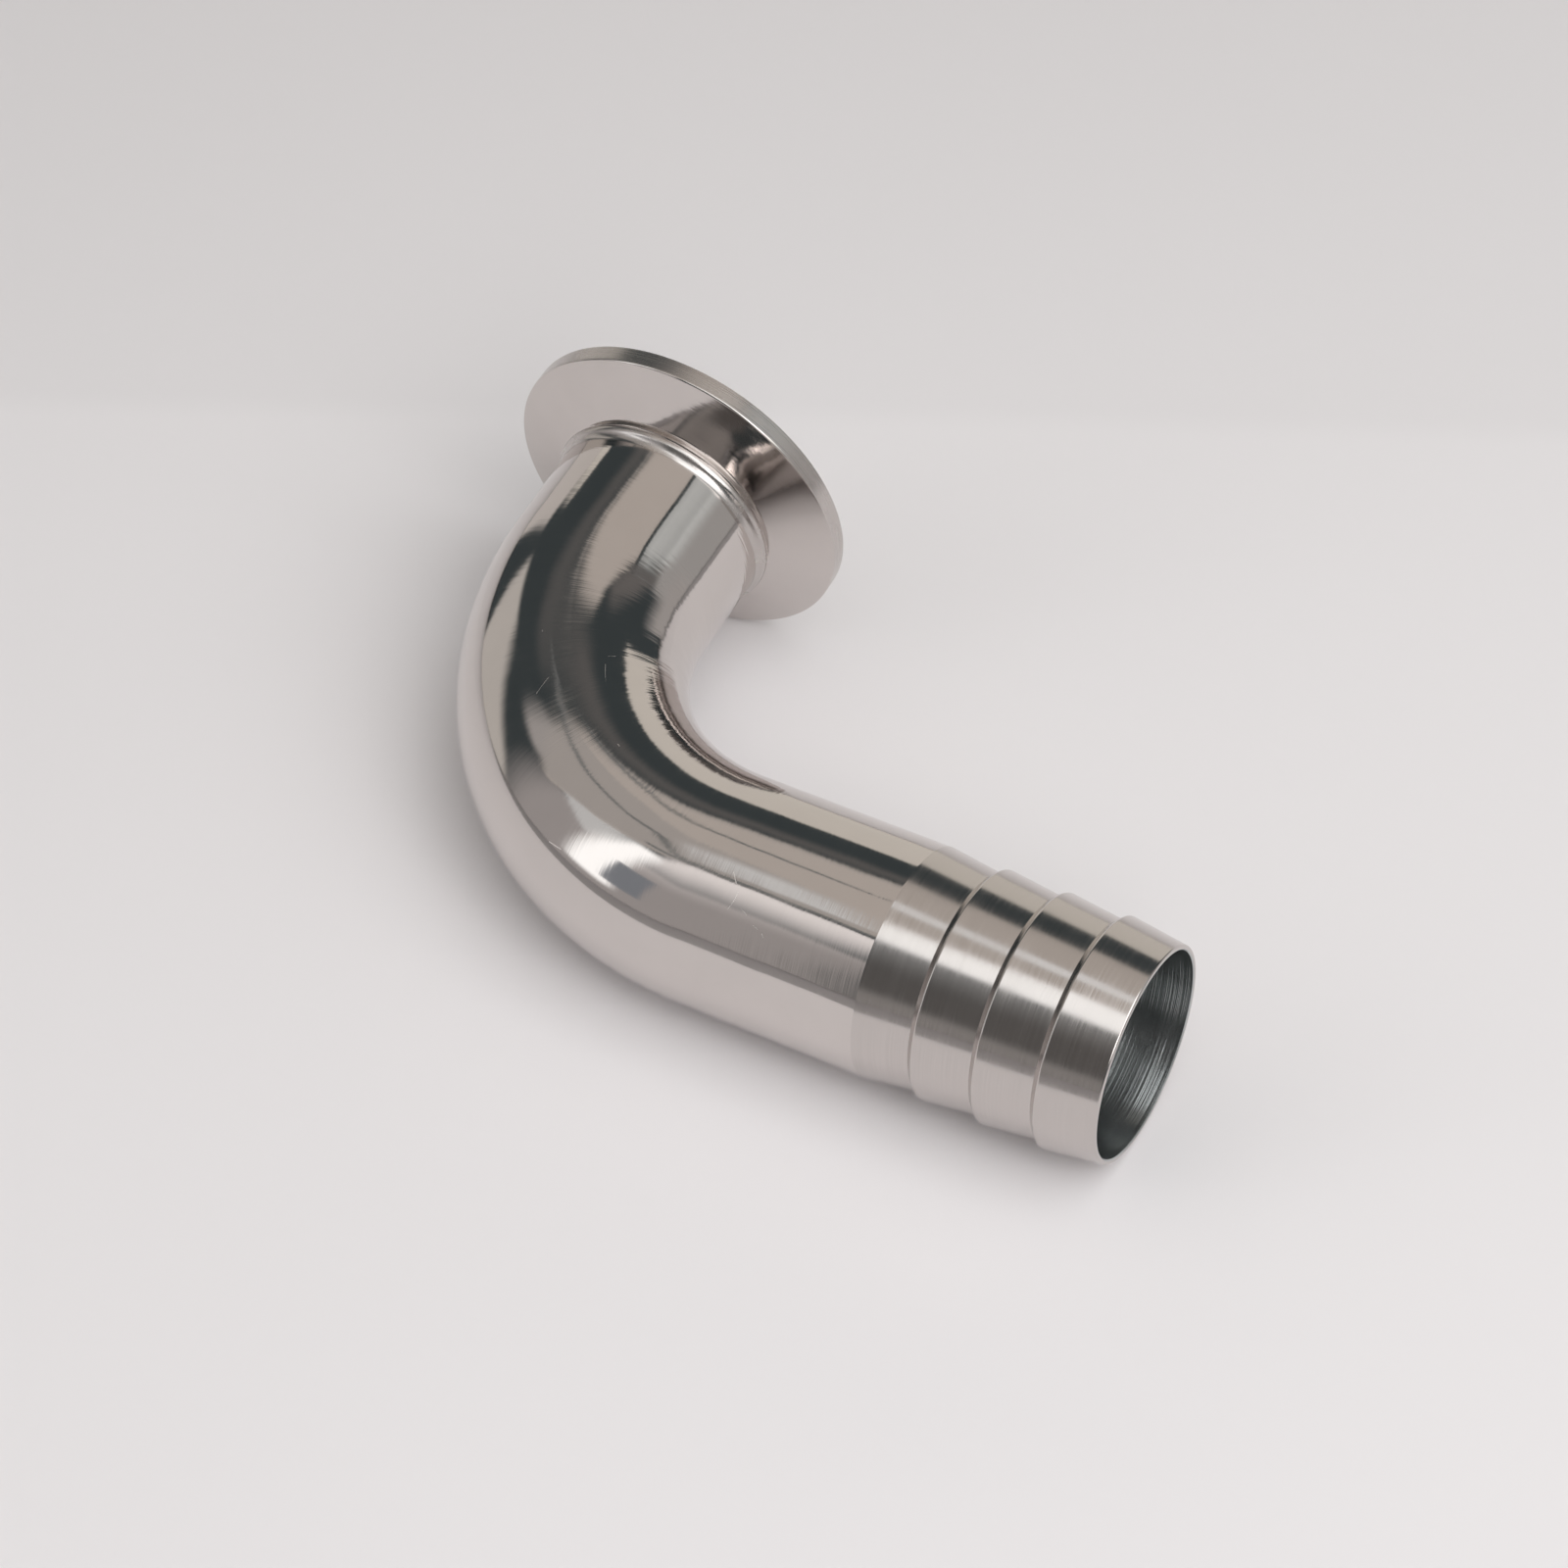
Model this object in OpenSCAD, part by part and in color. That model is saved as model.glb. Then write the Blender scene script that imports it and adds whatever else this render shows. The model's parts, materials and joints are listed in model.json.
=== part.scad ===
// Ninety degree stainless fitting: a clamp ferrule, a bent tube and a turned hose barb, welded in line.
// Lengths are millimetres. The fitting lies on its side, as it comes to rest on a table: the barb leg
// runs along +X on the table, and the ferrule leg leans up on the flange's rim.

/* [Tube] */
// Outside diameter of the tube
tube_od = 31.8; // [25.4:0.1:38.1]
// Wall of the tube and of the ferrule's neck
tube_wall = 1.5; // [1.2:0.05:2]
// Radius of the bend, to the tube's centre line
bend_r = 39.8; // [34:0.1:50]
// From the crossing of the two centre lines to the ferrule's face
centre_to_face = 61.1; // [56:0.1:90]
// From the crossing of the two centre lines to the barb's open end
centre_to_end = 101.2; // [85:0.1:150]

/* [Ferrule] */
// Outside diameter of the clamp flange
flange_od = 50.5; // [48:0.1:64]
// Thickness of the flange at its rim
rim_len = 2.8; // [2.2:0.05:4]
// Slope of the flange's back, from the plane of its face
clamp_angle = 20; // [15:0.5:25]
// Broken edge on both sides of the rim
rim_break = 0.2; // [0.05:0.05:0.5]
// Straight neck from the foot of the cone to the middle of the weld
neck_len = 1.5; // [1:0.05:4]
// Fillet where the cone meets the neck
foot_fillet_r = 0.8; // [0.3:0.05:1.3]
// Mean diameter of the gasket groove
groove_d = 43.5; // [42.6:0.1:45]
// Radius of the gasket groove's round bottom
groove_r = 1.6; // [1:0.05:1.9]
// Broken edge where the bore meets the face
bore_break = 0.2; // [0.05:0.05:0.5]

/* [Welds] */
// Width of the weld metal at the outside of the wall
weld_w = 2.4; // [1.6:0.1:3]
// Width of the weld metal at the inside of the wall
root_w = 1.8; // [1:0.1:2.4]
// Height of the root bead inside the bore
root_h = 0.15; // [0.05:0.05:0.4]
// Height of the ferrule weld's bead above the tube
bead_h = 0.85; // [0.3:0.05:1.2]
// Radius of the bead's round crest
bead_r = 0.9; // [0.6:0.05:1.2]
// Distance of the crest's centre from the middle of the weld, towards the ferrule
bead_shift = 0.6; // [0.2:0.05:0.9]
// Hollow radius that blends the bead into the tube
bead_blend_r = 1.6; // [0.8:0.1:2.5]

/* [Hose barb] */
// Number of barbs
barbs = 3; // [2:1:5]
// Distance from one barb's shoulder to the next
barb_pitch = 8.6; // [6:0.1:12]
// Length of the first flank, from the polished land to the first shoulder
lead_len = 7.6; // [5:0.1:12]
// Length of the last barb, from its shoulder to the open end
nose_len = 8.9; // [6:0.1:14]
// Straight land between the weld's middle and the first flank
land_len = 2.4; // [1.6:0.1:6]
// How far the crests lie below the tube's surface
crest_drop = 0.1; // [0:0.05:0.3]
// Depth of a barb, from its crest to its root
barb_depth = 0.85; // [0.5:0.05:0.95]
// Slope of a shoulder, from the centre line
shoulder_angle = 45; // [35:1:70]
// Radius of a crest's round edge
crest_r = 0.35; // [0.1:0.05:0.6]
// Step by which the barb's bore is smaller in radius than the tube's
bore_step = 0.35; // [0.1:0.05:0.5]
// Length over which the bore narrows
bore_taper_len = 1.5; // [0.5:0.1:4]
// Wall at the open end's lip
lip_wall = 0.75; // [0.6:0.05:1]
// Radius of the lip's outer edge
lip_r = 0.3; // [0.1:0.05:0.5]
// Broken inner edge of the lip
lip_break = 0.15; // [0.05:0.05:0.3]

/* [Hidden] */
$fn = 96;
polished = [0.78, 0.76, 0.74];
turned = [0.70, 0.69, 0.68];
weld_metal = [0.74, 0.72, 0.70];

// Radii shared by the tube and the two pieces welded to it
tube_r = tube_od / 2;
bore_r = tube_r - tube_wall;
flange_r = flange_od / 2;

// Places along the ferrule, measured from its face
foot_s = rim_len + (flange_r - tube_r) * tan(clamp_angle);
fillet_tangent = foot_fillet_r / tan((90 + clamp_angle) / 2);
ferrule_len = foot_s + neck_len;

// Places along the barb, measured from the middle of its weld
flank_start = land_len;
first_shoulder = flank_start + lead_len;
barb_len = first_shoulder + (barbs - 1) * barb_pitch + nose_len;
barb_bore_r = bore_r - bore_step;
crest_top_r = tube_r - crest_drop;
root_r = crest_top_r - barb_depth;
lip_outer_r = barb_bore_r + lip_wall;

// Middles of the two welds, measured from the crossing of the centre lines
ferrule_joint = centre_to_face - ferrule_len;
barb_joint = centre_to_end - barb_len;

// Lean of the ferrule leg when the barb leg and the flange's back edge both touch the table
rest_y = centre_to_face - rim_len + rim_break;
rest_reach = sqrt(rest_y * rest_y + flange_r * flange_r);
lean = atan2(flange_r, rest_y) - asin(tube_r / rest_reach);

// Middle of the fitting's outline on the table
x_low = -flange_r;
x_high = centre_to_end;
y_low = -tube_r;
y_high = centre_to_face * cos(lean) + (flange_r - rim_break) * sin(lean);

// Lays the fitting down, with its outline centred over the origin and its lowest line at z = 0
module laid() {
    translate([-(x_low + x_high) / 2, -(y_low + y_high) / 2, tube_r]) rotate([lean, 0, 0]) children();
}

// Turns a profile of radius against height into a body on the ferrule's centre line
module on_ferrule_leg(start) {
    translate([0, start, 0]) rotate([-90, 0, 0]) rotate_extrude() children();
}

// Turns a profile of radius against height into a body on the barb's centre line
module on_barb_leg(start) {
    translate([start, 0, 0]) rotate([0, 90, 0]) rotate_extrude() children();
}

// Ring of weld metal through the wall, centred on height zero, with its root bead
module weld_section() {
    polygon([
        [bore_r, -root_w / 2], [tube_r, -weld_w / 2], [tube_r, weld_w / 2], [bore_r, root_w / 2]
    ]);
    bead_circle_r = (root_w * root_w / 4 + root_h * root_h) / (2 * root_h);
    intersection() {
        translate([bore_r - root_h + bead_circle_r, 0]) circle(r = bead_circle_r);
        translate([bore_r - 2 * root_h, -root_w / 2]) square([2 * root_h, root_w]);
    }
}

// Corners of the fillet between the cone and the neck, in heights from the face
neck_touch = [tube_r, -foot_s - fillet_tangent];
cone_touch = [tube_r + fillet_tangent * cos(clamp_angle), -foot_s + fillet_tangent * sin(clamp_angle)];

// Round tool that leaves the fillet between the cone and the neck
module foot_round() {
    translate([tube_r + foot_fillet_r, neck_touch[1]]) circle(r = foot_fillet_r);
}

// Turned ferrule: flange with its gasket groove, sloping back and short neck
module clamp_ferrule() {
    color(polished) laid() on_ferrule_leg(centre_to_face) difference() {
        polygon([
            [bore_r + bore_break, 0],
            [flange_r - rim_break, 0],
            [flange_r, -rim_break],
            [flange_r, -rim_len + rim_break],
            [flange_r - rim_break, -rim_len - rim_break * tan(clamp_angle)],
            cone_touch,
            neck_touch,
            [tube_r, -ferrule_len + weld_w / 2],
            [bore_r, -ferrule_len + root_w / 2],
            [bore_r, -bore_break]
        ]);
        translate([groove_d / 2, 0]) circle(r = groove_r);
        foot_round();
    }
}

// Polished bead between the ferrule and the tube: a round crest close to the cone, blended into the tube
module ferrule_weld() {
    crest_r0 = tube_r + bead_h - bead_r;
    blend_r0 = tube_r + bead_blend_r;
    reach = bead_r + bead_blend_r;
    blend_drop = sqrt(reach * reach - (blend_r0 - crest_r0) * (blend_r0 - crest_r0));
    touch = bead_r / reach;
    color(weld_metal) laid() on_ferrule_leg(ferrule_joint) difference() {
        union() {
            weld_section();
            intersection() {
                translate([crest_r0, bead_shift]) circle(r = bead_r);
                translate([tube_r, bead_shift - bead_r]) square([bead_h, 2 * bead_r]);
            }
            difference() {
                polygon([
                    [tube_r, bead_shift],
                    [tube_r, bead_shift - blend_drop],
                    [crest_r0 + (blend_r0 - crest_r0) * touch, bead_shift - blend_drop * touch],
                    [tube_r + bead_h / 2, bead_shift]
                ]);
                translate([blend_r0, bead_shift - blend_drop]) circle(r = bead_blend_r);
            }
        }
        translate([0, ferrule_len]) difference() {
            polygon([[tube_r, -foot_s], cone_touch, neck_touch]);
            foot_round();
        }
    }
}

// Bent tube with its two straight ends, each cut to the weld
module elbow_tube() {
    color(polished) laid() {
        on_ferrule_leg(bend_r) polygon([
            [bore_r, 0],
            [tube_r, 0],
            [tube_r, ferrule_joint - bend_r - weld_w / 2],
            [bore_r, ferrule_joint - bend_r - root_w / 2]
        ]);
        translate([bend_r, bend_r, 0]) rotate([0, 0, 180]) rotate_extrude(angle = 90) {
            translate([bend_r, 0]) difference() {
                circle(r = tube_r);
                circle(r = bore_r);
            }
        }
        on_barb_leg(bend_r) polygon([
            [bore_r, 0],
            [tube_r, 0],
            [tube_r, barb_joint - bend_r - weld_w / 2],
            [bore_r, barb_joint - bend_r - root_w / 2]
        ]);
    }
}

// Weld between the tube and the barb, ground flush on the outside
module barb_weld() {
    color(weld_metal) laid() on_barb_leg(barb_joint) weld_section();
}

// Height of a barb's shoulder, and the centre of its round crest
function shoulder(i) = first_shoulder + i * barb_pitch;
function crest_centre_r() = crest_top_r - crest_r;
function crest_rise() = crest_centre_r() + crest_r * cos(shoulder_angle) - root_r;
function crest_centre(i) = shoulder(i) + crest_rise() / tan(shoulder_angle) + crest_r * sin(shoulder_angle);

// Radius at which the line of the last flank meets the lip's round edge
lip_centre_r = lip_outer_r - lip_r;
lip_centre = barb_len - lip_r;

// Where a flank ends: at the next root, or on the lip's round edge after the last barb
function flank_run(i) = (i < barbs - 1 ? shoulder(i + 1) : lip_centre) - crest_centre(i);
function flank_fall(i) = crest_centre_r() - (i < barbs - 1 ? root_r : lip_centre_r);
function flank_gap(i) = i < barbs - 1 ? crest_r : crest_r - lip_r;
function flank_reach(i) = sqrt(flank_run(i) * flank_run(i) + flank_fall(i) * flank_fall(i));
function flank_angle(i) = atan2(flank_fall(i), flank_run(i)) + asin(flank_gap(i) / flank_reach(i));

// Root of a shoulder, then the two points where the round crest touches the shoulder and the flank
function barb_points(i) = [
    [root_r, shoulder(i)],
    [crest_centre_r() + crest_r * cos(shoulder_angle), crest_centre(i) - crest_r * sin(shoulder_angle)],
    [crest_centre_r() + crest_r * cos(flank_angle(i)), crest_centre(i) + crest_r * sin(flank_angle(i))]
];

// Turned barb: a straight land, then barbs that grip the hose, and a thin open lip
module hose_barb() {
    last_angle = flank_angle(barbs - 1);
    color(turned) laid() on_barb_leg(barb_joint) {
        polygon(concat(
            [[bore_r, root_w / 2], [tube_r, weld_w / 2], [tube_r, flank_start]],
            [for (i = [0 : barbs - 1]) each barb_points(i)],
            [
                [lip_centre_r + lip_r * cos(last_angle), lip_centre + lip_r * sin(last_angle)],
                [lip_centre_r, barb_len],
                [barb_bore_r + lip_break, barb_len],
                [barb_bore_r, barb_len - lip_break],
                [barb_bore_r, root_w / 2 + bore_taper_len]
            ]
        ));
        for (i = [0 : barbs - 1]) translate([crest_centre_r(), crest_centre(i)]) circle(r = crest_r);
        translate([lip_centre_r, lip_centre]) circle(r = lip_r);
    }
}

clamp_ferrule();
ferrule_weld();
elbow_tube();
barb_weld();
hose_barb();
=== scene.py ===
"""Polished stainless fitting on pale paper: a clamp ferrule, a bent tube and a turned hose barb.

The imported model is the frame. Each shown piece is modelled again on the frame's own centre lines with
a finer surface, because polished steel shows every facet. Lengths are metres.
"""

import json
import math

import bpy
from bpy.props import FloatProperty, FloatVectorProperty, IntProperty, PointerProperty
from mathutils import Matrix, Vector


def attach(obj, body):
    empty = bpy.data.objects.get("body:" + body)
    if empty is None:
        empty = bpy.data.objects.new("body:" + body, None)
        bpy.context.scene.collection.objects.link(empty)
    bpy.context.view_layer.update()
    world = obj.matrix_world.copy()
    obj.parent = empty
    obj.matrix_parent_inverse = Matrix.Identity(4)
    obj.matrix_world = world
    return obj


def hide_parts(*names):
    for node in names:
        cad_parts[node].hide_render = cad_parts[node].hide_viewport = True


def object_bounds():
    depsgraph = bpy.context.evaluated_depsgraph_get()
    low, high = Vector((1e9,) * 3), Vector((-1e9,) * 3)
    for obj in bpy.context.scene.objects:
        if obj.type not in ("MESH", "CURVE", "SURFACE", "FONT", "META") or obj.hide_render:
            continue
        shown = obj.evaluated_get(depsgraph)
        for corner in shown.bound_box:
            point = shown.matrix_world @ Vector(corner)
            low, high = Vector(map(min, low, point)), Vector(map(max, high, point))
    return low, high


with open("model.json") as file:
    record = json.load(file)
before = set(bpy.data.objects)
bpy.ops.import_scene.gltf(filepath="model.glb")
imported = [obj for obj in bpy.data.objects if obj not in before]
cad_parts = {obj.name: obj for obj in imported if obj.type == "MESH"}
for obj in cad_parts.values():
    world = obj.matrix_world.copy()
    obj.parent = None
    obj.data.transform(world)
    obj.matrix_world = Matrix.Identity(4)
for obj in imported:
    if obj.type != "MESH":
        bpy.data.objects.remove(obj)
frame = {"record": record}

CAD_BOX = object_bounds()
MM = 0.001

bl_info = {
    "name": "Stainless Hose Fitting",
    "version": (1, 0, 0),
    "blender": (4, 5, 0),
    "location": "View3D > Sidebar > Fitting",
    "description": "Builds a polished clamp ferrule elbow with a turned hose barb, and its studio",
    "category": "Add Mesh",
}


def packed_mount(name):
    """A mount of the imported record, as its point and its axis."""
    mounts = {mount["name"]: mount for mount in frame["record"]["mounts"]}
    return Vector(mounts[name]["pos_m"]), Vector(mounts[name]["axis"])


FACE_POINT, FERRULE_AXIS = packed_mount("ferrule_face")
BARB_POINT = packed_mount("barb_bore")[0]
# The centre lines cross straight above the ferrule's own x, on the barb's line
CROSSING = Vector((FACE_POINT.x, BARB_POINT.y, BARB_POINT.z))
LEAN = math.atan2(FERRULE_AXIS.z, FERRULE_AXIS.y)
FACE_DISTANCE = (FACE_POINT - CROSSING).dot(FERRULE_AXIS)
END_DISTANCE = CAD_BOX[1].x - CROSSING.x
FLANGE_RADIUS = CROSSING.x - CAD_BOX[0].x

# Fineness of the shown surfaces: steps round a turned body, sides of the tube, steps of its bend and the
# gap between its rings, then how close to a corner a flat run is held and the gap between its points
TURN_STEPS = 288
TUBE_SIDES = 224
BEND_STEPS = 96
RING_GAP = 0.7 * MM
EDGE_HOLD = 0.06 * MM
RUN_GAP = 0.8 * MM
SAME_POINT = 1e-7
SHARP_ANGLE = math.radians(30)

# How far off its true radius a face may lie and still count as bore or as rim
BORE_SKIN = 0.05 * MM
BARB_BORE_SKIN = 0.02 * MM
RIM_SKIN = 0.03 * MM

# The paper, the table just below it, and a faint fold: the direction it is measured along and its place
PAPER_MIDDLE = (-0.5, 0.9, 0)
PAPER_SIZE = (1.4, 2.1, 1)
TABLE_SIZE = 16
TABLE_DROP = 0.6 * MM
FOLD_DIRECTION = (-0.436, 0.9, 0)
FOLD_PLACE = 0.0902

# Colours that several lights share
WARM = (1, 0.96, 0.93)
COOL = (0.98, 1, 1)
TAN = (1, 0.925, 0.85)


# Sizes, finishes and studio settings


class FittingSizes(bpy.types.PropertyGroup):
    """Sizes of the fitting, as in its solids"""

    tube_radius: FloatProperty(
        name="Tube radius", description="Outside radius of the tube", default=15.9 * MM, unit="LENGTH"
    )
    tube_wall: FloatProperty(
        name="Tube wall", description="Wall of the tube", default=1.5 * MM, unit="LENGTH"
    )
    bend_radius: FloatProperty(
        name="Bend radius", description="Radius of the bend's centre line",
        default=39.8 * MM, unit="LENGTH",
    )
    rim_length: FloatProperty(
        name="Rim length", description="Thickness of the flange at its rim",
        default=2.8 * MM, unit="LENGTH",
    )
    back_slope: FloatProperty(
        name="Back slope", description="Slope of the flange's back",
        default=math.radians(20), subtype="ANGLE",
    )
    neck_length: FloatProperty(
        name="Neck length", description="Neck from the cone's foot to the weld",
        default=1.5 * MM, unit="LENGTH",
    )
    foot_fillet: FloatProperty(
        name="Foot fillet", description="Fillet between the cone and the neck",
        default=0.8 * MM, unit="LENGTH",
    )
    groove_radius: FloatProperty(
        name="Groove radius", description="Radius of the gasket groove's bottom",
        default=1.6 * MM, unit="LENGTH",
    )
    groove_middle: FloatProperty(
        name="Groove middle", description="Mean radius of the gasket groove",
        default=21.75 * MM, unit="LENGTH",
    )
    edge_break: FloatProperty(
        name="Edge break", description="Broken edges of the flange and the bore",
        default=0.2 * MM, unit="LENGTH",
    )
    weld_width: FloatProperty(
        name="Weld width", description="Width of the weld metal outside", default=2.4 * MM, unit="LENGTH"
    )
    root_width: FloatProperty(
        name="Root width", description="Width of the weld metal inside", default=1.8 * MM, unit="LENGTH"
    )
    root_height: FloatProperty(
        name="Root height", description="Height of the root bead inside the bore",
        default=0.15 * MM, unit="LENGTH",
    )
    bead_height: FloatProperty(
        name="Bead height", description="Height of the ferrule weld's bead",
        default=0.85 * MM, unit="LENGTH",
    )
    bead_radius: FloatProperty(
        name="Bead radius", description="Radius of the bead's crest", default=0.9 * MM, unit="LENGTH"
    )
    bead_shift: FloatProperty(
        name="Bead shift", description="Shift of the crest towards the ferrule",
        default=0.6 * MM, unit="LENGTH",
    )
    bead_blend: FloatProperty(
        name="Bead blend", description="Hollow that blends the bead into the tube",
        default=1.6 * MM, unit="LENGTH",
    )
    barb_count: IntProperty(name="Barbs", description="Number of barbs", default=3, min=2, max=5)
    barb_pitch: FloatProperty(
        name="Barb pitch", description="From one shoulder to the next", default=8.6 * MM, unit="LENGTH"
    )
    land_length: FloatProperty(
        name="Land length", description="Polished land from the weld to the first flank",
        default=2.4 * MM, unit="LENGTH",
    )
    lead_length: FloatProperty(
        name="Lead length", description="Length of the first flank", default=7.6 * MM, unit="LENGTH"
    )
    nose_length: FloatProperty(
        name="Nose length", description="From the last shoulder to the open end",
        default=8.9 * MM, unit="LENGTH",
    )
    crest_drop: FloatProperty(
        name="Crest drop", description="Crests lie this far below the tube's surface",
        default=0.1 * MM, unit="LENGTH",
    )
    barb_depth: FloatProperty(
        name="Barb depth", description="From a barb's crest to its root",
        default=0.85 * MM, unit="LENGTH",
    )
    crest_round: FloatProperty(
        name="Crest round", description="Radius of a crest's edge", default=0.35 * MM, unit="LENGTH"
    )
    bore_step: FloatProperty(
        name="Bore step", description="The barb's bore is smaller in radius by this",
        default=0.35 * MM, unit="LENGTH",
    )
    bore_taper: FloatProperty(
        name="Bore taper", description="Length over which the bore narrows",
        default=1.5 * MM, unit="LENGTH",
    )
    lip_wall: FloatProperty(
        name="Lip wall", description="Wall at the open end", default=0.75 * MM, unit="LENGTH"
    )
    lip_round: FloatProperty(
        name="Lip round", description="Radius of the lip's outer edge", default=0.3 * MM, unit="LENGTH"
    )
    lip_break: FloatProperty(
        name="Lip break", description="Broken inner edge of the lip", default=0.15 * MM, unit="LENGTH"
    )


class SteelFinish(bpy.types.PropertyGroup):
    """Colour and smoothness of the steel"""

    steel: FloatVectorProperty(
        name="Steel", description="Colour of polished steel", default=(0.645, 0.602, 0.58), subtype="COLOR"
    )
    polish: FloatProperty(
        name="Polish", description="Roughness of the polished tube", default=0.075, min=0, max=1
    )
    bead: FloatProperty(
        name="Bead", description="Roughness of the weld bead", default=0.25, min=0, max=1
    )
    turned: FloatProperty(
        name="Turned", description="Roughness of the turned barb", default=0.15, min=0, max=1
    )
    rim: FloatProperty(
        name="Rim", description="Roughness of the flange's rim", default=0.27, min=0, max=1
    )
    bore: FloatProperty(name="Bore", description="Roughness inside the bore", default=0.22, min=0, max=1)
    waves: FloatProperty(
        name="Waves", description="Height of slow waves in the polish, in mm", default=0.08
    )
    ripples: FloatProperty(
        name="Ripples", description="Height of ripples from bending, in mm", default=0.024
    )
    marks: FloatProperty(name="Marks", description="Height of buffing marks, in mm", default=0.003)
    rings: FloatProperty(
        name="Rings", description="Height of lathe rings on the barb, in mm", default=0.0045
    )
    bore_rings: FloatProperty(
        name="Bore rings", description="Height of rings in the bore, in mm", default=0.055
    )


class StudioSettings(bpy.types.PropertyGroup):
    """Paper, lights and camera"""

    paper: FloatVectorProperty(
        name="Paper", description="Colour of the paper", default=(0.868, 0.84, 0.852), subtype="COLOR"
    )
    room: FloatVectorProperty(
        name="Room", description="Dim room beyond the cards",
        default=(0.052, 0.064, 0.068), subtype="COLOR",
    )
    backdrop: FloatVectorProperty(
        name="Backdrop", description="Background that the camera sees",
        default=(0.66, 0.63, 0.64), subtype="COLOR",
    )
    light: FloatProperty(
        name="Light", description="Level of all the lights and cards", default=1.0, min=0
    )
    camera_place: FloatVectorProperty(
        name="Camera", description="Place of the camera",
        default=(0.195529, -0.344906, 0.401589), subtype="XYZ", unit="LENGTH",
    )
    camera_aim: FloatVectorProperty(
        name="Aim", description="Point at the middle of the picture",
        default=(-0.000624, -0.003000, 0.0159), subtype="XYZ", unit="LENGTH",
    )
    camera_roll: FloatProperty(
        name="Roll", description="Turn of the camera about its own line of sight",
        default=math.radians(-1.194), subtype="ANGLE",
    )
    camera_lens: FloatProperty(name="Lens", description="Focal length in millimetres", default=94.13)


# Modelling helpers


def deselect_all():
    """Leaves nothing selected, in object mode."""
    if bpy.context.mode != "OBJECT":
        bpy.ops.object.mode_set(mode="OBJECT")
    bpy.ops.object.select_all(action="DESELECT")


def use_only(piece):
    """Makes one piece selected and active."""
    deselect_all()
    piece.select_set(True)
    bpy.context.view_layer.objects.active = piece


def arc(centre, radius, start, end, steps):
    """Points of an arc in a profile of radius against height, with angles in degrees from outward."""
    points = []
    for step in range(steps + 1):
        angle = math.radians(start + (end - start) * step / steps)
        points.append((centre[0] + radius * math.cos(angle), centre[1] + radius * math.sin(angle)))
    return points


def supported(corners):
    """A closed line through the corners, with points close to both ends of each long run.

    They keep a flat run flat where it is shaded smooth.
    """
    points = []
    for start, end in zip(corners, corners[1:] + corners[:1]):
        start, end = Vector(start), Vector(end)
        length = (end - start).length
        points.append(start)
        if length < 4 * EDGE_HOLD:
            continue
        direction = (end - start) / length
        run = length - 2 * EDGE_HOLD
        count = max(1, round(run / RUN_GAP))
        for step in range(count + 1):
            points.append(start + direction * (EDGE_HOLD + run * step / count))
    return points


def turn_body(name, corners, place):
    """Draws a closed profile of radius against height, and spins it round the centre line."""
    points = supported(corners)
    deselect_all()
    bpy.ops.mesh.primitive_plane_add(size=MM)
    piece = bpy.context.active_object
    piece.name = name
    piece.data.name = name
    bpy.ops.object.mode_set(mode="EDIT")
    bpy.ops.mesh.select_all(action="SELECT")
    bpy.ops.mesh.merge(type="CENTER")
    bpy.ops.transform.translate(value=(points[0][0], 0, points[0][1]))
    for before, after in zip(points, points[1:] + points[:1]):
        move = (after[0] - before[0], 0, after[1] - before[1])
        bpy.ops.mesh.extrude_region_move(TRANSFORM_OT_translate={"value": move})
    bpy.ops.mesh.select_all(action="SELECT")
    bpy.ops.mesh.remove_doubles(threshold=SAME_POINT)
    bpy.ops.mesh.spin(steps=TURN_STEPS, angle=2 * math.pi, center=(0, 0, 0), axis=(0, 0, 1))
    bpy.ops.mesh.select_all(action="SELECT")
    bpy.ops.mesh.remove_doubles(threshold=SAME_POINT)
    bpy.ops.mesh.normals_make_consistent(inside=False)
    bpy.ops.object.mode_set(mode="OBJECT")
    piece.matrix_world = place
    finish_shape(piece)
    return piece


def finish_shape(piece):
    """Puts the piece's place into its mesh and shades it smooth, apart from its real edges."""
    use_only(piece)
    bpy.ops.object.transform_apply(location=True, rotation=True, scale=True)
    bpy.ops.object.shade_smooth_by_angle(angle=SHARP_ANGLE)


def hand_over(piece, node, slot, *materials):
    """Gives a finished piece its materials, and lets it stand for its solid."""
    piece.data.materials.clear()
    for material in materials:
        piece.data.materials.append(material)
    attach(piece, "root")
    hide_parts(node)


def straightened(point, bend):
    """A point as its distance along the centre line, then out of the bend, then across the bend's plane."""
    if point.x < bend and point.y < bend:
        turn = math.atan2(bend - point.y, bend - point.x)
        return Vector((bend * turn, math.hypot(point.x - bend, point.y - bend) - bend, point.z))
    if point.y > point.x:
        return Vector((bend - point.y, -point.x, point.z))
    return Vector((bend * math.pi / 2 + point.x - bend, -point.y, point.z))


def lay_path(piece):
    """Stores the straightened point at every vertex, for marks that follow the tube, and returns them."""
    local = leg_frame().inverted()
    bend = bpy.context.scene.fitting_sizes.bend_radius
    points = [straightened(local @ vertex.co, bend) for vertex in piece.data.vertices]
    attribute = piece.data.attributes.new("path", "FLOAT_VECTOR", "POINT")
    attribute.data.foreach_set("vector", [number for point in points for number in point])
    return points


def paint_bore(piece, radius):
    """Gives the faces that look into the bore the piece's second material."""
    off_line = [math.hypot(point.y, point.z) for point in lay_path(piece)]
    for face in piece.data.polygons:
        if max(off_line[index] for index in face.vertices) < radius:
            face.material_index = 1


def paint_rim(piece, index):
    """Gives the faces round the flange's rim another of the piece's materials."""
    edge = FLANGE_RADIUS - RIM_SKIN
    local = leg_frame().inverted()
    for face in piece.data.polygons:
        centre = local @ face.center
        if math.hypot(centre.x, centre.z) > edge:
            face.material_index = index


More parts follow.
